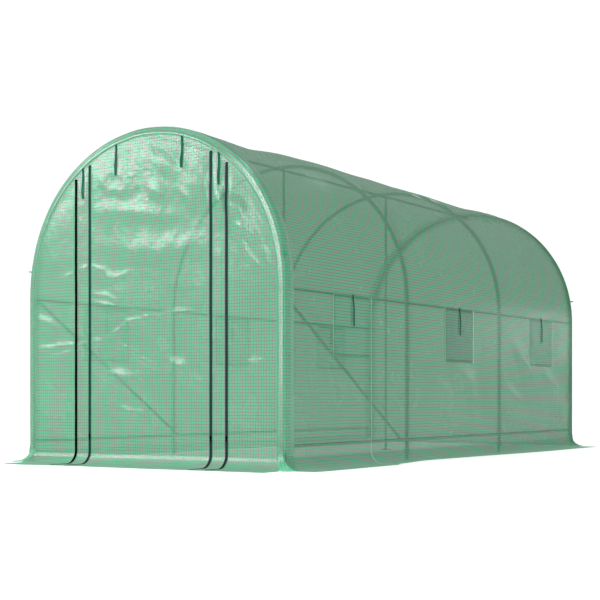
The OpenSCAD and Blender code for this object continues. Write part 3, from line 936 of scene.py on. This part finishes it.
tape_back = 0.0011
tie_r = cover_r - 0.036
door_tie_xs = (-0.5325, -0.258, 0.258, 0.5325)
tie_clear = 0.001
hem_face = abs(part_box("front_hem")[0].y)
panel_back = abs(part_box("door_panel")[1].y)
for number, x in enumerate(door_tie_xs, 1):
    top_z = leg_h + math.sqrt(tie_r ** 2 - x ** 2)
    outer_top = (x, -hem_face - tape_back, top_z)
    inner_top = (x, -panel_back + tape_back, top_z)
    tie_tape(f"door_tie_outer_{number}", outer_top, (1, 0, 0), (0, -1, 0), "front_ties",
             lambda at: np.maximum(front_relief(at[:, 0], at[:, 2]), 0) + tie_clear)
    tie_tape(f"door_tie_inner_{number}", inner_top, (-1, 0, 0), (0, 1, 0), "front_ties")
flap_face = flap_high.x + tape_back
net_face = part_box("right_window_nets")[0].x - tape_back
for side, side_name in ((-1, "left"), (1, "right")):
    for number, y in enumerate(window_ys, 1):
        node = f"{side_name}_window_ties"
        outer_top = (side * flap_face, y, flap_high.z)
        inner_top = (side * net_face, y, flap_high.z)
        tie_tape(f"{side_name}_window_tie_outer_{number}", outer_top, (0, 1, 0), (side, 0, 0), node,
                 lambda at: np.maximum(flap_out(side, y, at[:, 1] - y, flap_high.z - at[:, 2]) - 0.0015, 0))
        tie_tape(f"{side_name}_window_tie_inner_{number}", inner_top, (0, -1, 0), (-side, 0, 0), node)

# Corner tabs
# Short loops of the tie tape, folded double and sewn into the cover above each corner leg.
tab_cloth = thread_cloth("green_corner_tab", (0.03, 0.22, 0.12, 1), (0.06, 0.36, 0.20, 1),
                         grain=500, roughness=0.7, strength=0.4, distance=0.0006)
dress("corner_tabs", tab_cloth)

# Studio
# A plain white floor, with a painted shadow under the cover, and soft daylight from all round. Before the
# door end stand one large soft lamp and two that the hem band mirrors, beside the far wall a weak one, and a
# high one far behind lights the ridge folds. Seen from the front right corner at knee height.
floor_half = 30
floor_z = -0.001
open_glow = 0.64
shaded_glow = 0.38
floor_mesh = bpy.data.meshes.new("floor")
floor_mesh.from_pydata([(-floor_half, -floor_half, floor_z), (floor_half, -floor_half, floor_z),
                        (floor_half, floor_half, floor_z), (-floor_half, floor_half, floor_z)],
                       [], [(0, 1, 2, 3)])
floor = add_object("floor", floor_mesh)
floor_paint, nodes, links, shader = new_material("white_floor")
shader.inputs["Base Color"].default_value = (0.75, 0.75, 0.75, 1)
shader.inputs["Roughness"].default_value = 0.9
shader.inputs["Specular IOR Level"].default_value = 0.0
shader.inputs["Emission Color"].default_value = (1, 1, 1, 1)
floor_split = nodes.new("ShaderNodeSeparateXYZ")
links.new(nodes.new("ShaderNodeTexCoord").outputs["Object"], floor_split.inputs["Vector"])
# Within the footprint of the cover the floor glows less: a painted shadow under the tunnel.
within = []
for axis, reach in (("X", cover_r), ("Y", end_mid)):
    away = math_node(nodes, links, "ABSOLUTE", floor_split.outputs[axis], 0)
    within.append(map_range(nodes, links, away, reach - 0.03, reach + 0.01, 1, 0, "SMOOTHSTEP"))
shaded = math_node(nodes, links, "MULTIPLY", *within)
glow = map_range(nodes, links, shaded, 0, 1, open_glow, shaded_glow)
links.new(glow, shader.inputs["Emission Strength"])
floor.data.materials.append(floor_paint)

world = bpy.data.worlds.new("studio_light")
bpy.context.scene.world = world
world.use_nodes = True
nodes, links = world.node_tree.nodes, world.node_tree.links
ambient = nodes["Background"]
ambient.inputs["Color"].default_value = (1, 1, 1, 1)
bearing = nodes.new("ShaderNodeSeparateXYZ")
links.new(nodes.new("ShaderNodeTexCoord").outputs["Generated"], bearing.inputs["Vector"])
daylight = map_range(nodes, links, bearing.outputs["Y"], -0.2, 0.6, 0.55, 0.405, "SMOOTHSTEP")
links.new(daylight, ambient.inputs["Strength"])
backdrop = nodes.new("ShaderNodeBackground")
backdrop.inputs["Color"].default_value = (1, 1, 1, 1)
backdrop.inputs["Strength"].default_value = 1.05
seen = nodes.new("ShaderNodeLightPath")
choose = nodes.new("ShaderNodeMixShader")
links.new(seen.outputs["Is Camera Ray"], choose.inputs["Fac"])
links.new(ambient.outputs["Background"], choose.inputs[1])
links.new(backdrop.outputs["Background"], choose.inputs[2])
links.new(choose.outputs["Shader"], nodes["World Output"].inputs["Surface"])


def soft_lamp(name, place, aim, size, power, roll=0.0):
    lamp = bpy.data.lights.new(name, "AREA")
    lamp.shape = "RECTANGLE"
    lamp.size, lamp.size_y = size
    lamp.energy = power
    holder = add_object(name, lamp)
    holder.location = place
    facing = (Vector(aim) - Vector(place)).to_track_quat("-Z", "Y")
    holder.rotation_euler = (facing @ Quaternion((0, 0, 1), math.radians(roll))).to_euler()
    holder.visible_camera = False


soft_lamp("left_lamp", (-5.3, -7.5, 4.1), (0, -2.2, 1.2), (4.0, 2.5), 375)
soft_lamp("leg_lamp", (-0.15, -10.7, 1.4), (0.9, -2.2, 0.9), (0.9, 2.4), 62, roll=4)
soft_lamp("arch_lamp", (-1.05, -10.7, 4.5), (0.8, -2.2, 3.4), (1.5, 4.4), 280, roll=25)
soft_lamp("wall_lamp", (3.8, 8.5, 1.4), (1.0, 1.0, 0.5), (1.0, 1.0), 10)
soft_lamp("rear_lamp", (1.6, 25.5, 33.0), (0.45, 1.0, 1.95), (4.0, 4.0), 2200)

camera_data = bpy.data.cameras.new("camera")
camera_data.sensor_width = 36
camera_data.lens = 79.59
camera_data.shift_y = 0.1604
camera = add_object("camera", camera_data)
camera.location = (5.1645, -8.6307, 0.4303)
camera.rotation_euler = (math.radians(90), 0, math.radians(32.537))
bpy.context.scene.camera = camera
bpy.context.scene.view_settings.view_transform = "Standard"

bpy.context.view_layer.update()
